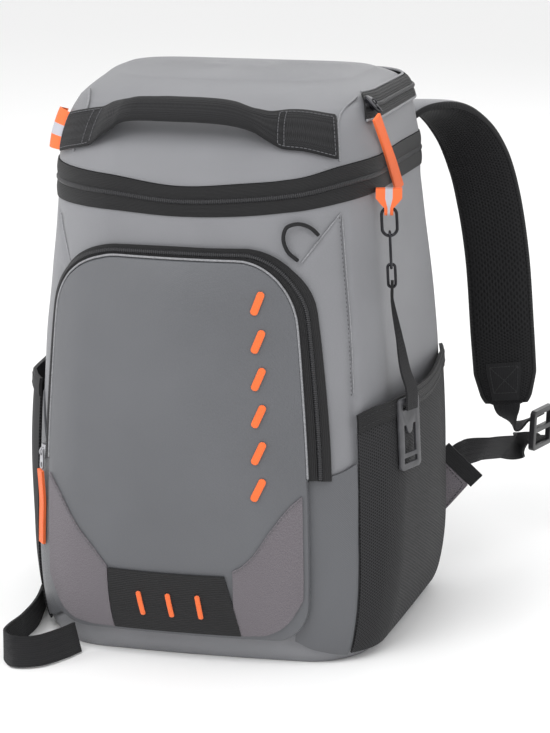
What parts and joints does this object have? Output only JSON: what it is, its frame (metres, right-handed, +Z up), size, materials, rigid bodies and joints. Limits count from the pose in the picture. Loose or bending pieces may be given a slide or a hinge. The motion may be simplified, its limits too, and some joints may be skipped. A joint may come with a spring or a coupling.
{
  "type": "cooler backpack",
  "caption": "Insulated soft cooler backpack: padded box body, zipped domed lid, curved front pocket, mesh side pockets, carry handle, two padded shoulder straps and a hanging bottle opener.",
  "frame": {"origin": "centre of the flat base, on the floor", "axes": "+Z up, -Y towards the front pocket, +X towards the side that carries the hanging opener"},
  "size_m": [0.4202, 0.4027, 0.442],
  "materials": {
    "grey_nylon": "satin coated twill, mid grey",
    "pocket_nylon": "satin coated twill, darker cool grey",
    "speckled_cloth": "matt heather weave, purple-grey with light specks",
    "black_tape": "matt ribbed tape",
    "black_webbing": "matt woven webbing",
    "black_mesh": "open knitted mesh",
    "orange_trim": "matt woven tape, orange with a silver stripe on the loops",
    "dark_metal": "glossy black",
    "black_plastic": "semi-gloss moulded",
    "opener_plastic": "dark grey, satin"
  },
  "bodies": {
    "root": {"accent_bar_1": "orange_trim", "accent_bar_2": "orange_trim", "accent_bar_3": "orange_trim", "accent_bar_4": "orange_trim", "accent_bar_5": "orange_trim", "accent_bar_6": "orange_trim", "back_panel": "black_mesh", "body_shell": "grey_nylon", "bottle_opener": "opener_plastic", "carry_handle": "black_webbing", "chain_link": "dark_metal", "chain_ring": "dark_metal", "cord_loop": "black_webbing", "front_pocket": "pocket_nylon", "ladder_lock_left": "black_plastic", "ladder_lock_right": "black_plastic", "lid_hinge": "grey_nylon", "lid_pull_tag": "orange_trim", "lid_shell": "grey_nylon", "lid_slider": "dark_metal", "lid_slider_pull": "dark_metal", "lid_zipper": "black_tape", "loop_tab_left": "orange_trim", "loop_tab_right": "orange_trim", "lower_web_left": "black_webbing", "lower_web_right": "black_webbing", "main_zipper_coil": "black_tape", "main_zipper_lower": "black_tape", "main_zipper_upper": "black_tape", "patch_bar_1": "orange_trim", "patch_bar_2": "orange_trim", "patch_bar_3": "orange_trim", "pocket_patch": "black_tape", "pocket_pull_tag": "orange_trim", "pocket_side_panel_left": "speckled_cloth", "pocket_side_panel_right": "speckled_cloth", "pocket_slider": "dark_metal", "pocket_slider_pull": "dark_metal", "pocket_zipper": "black_tape", "shoulder_strap_left": "black_mesh", "shoulder_strap_right": "black_mesh", "side_pocket_hem_left": "black_tape", "side_pocket_hem_right": "black_tape", "side_pocket_left": "black_mesh", "side_pocket_right": "black_mesh", "strap_end_left": "black_webbing", "strap_end_right": "black_webbing", "strap_wing_left": "speckled_cloth", "strap_wing_right": "speckled_cloth", "swivel": "dark_metal", "tether_web": "black_webbing", "web_fold_left": "black_webbing", "web_fold_right": "black_webbing", "web_tail": "black_webbing"}
  },
  "joints": []
}
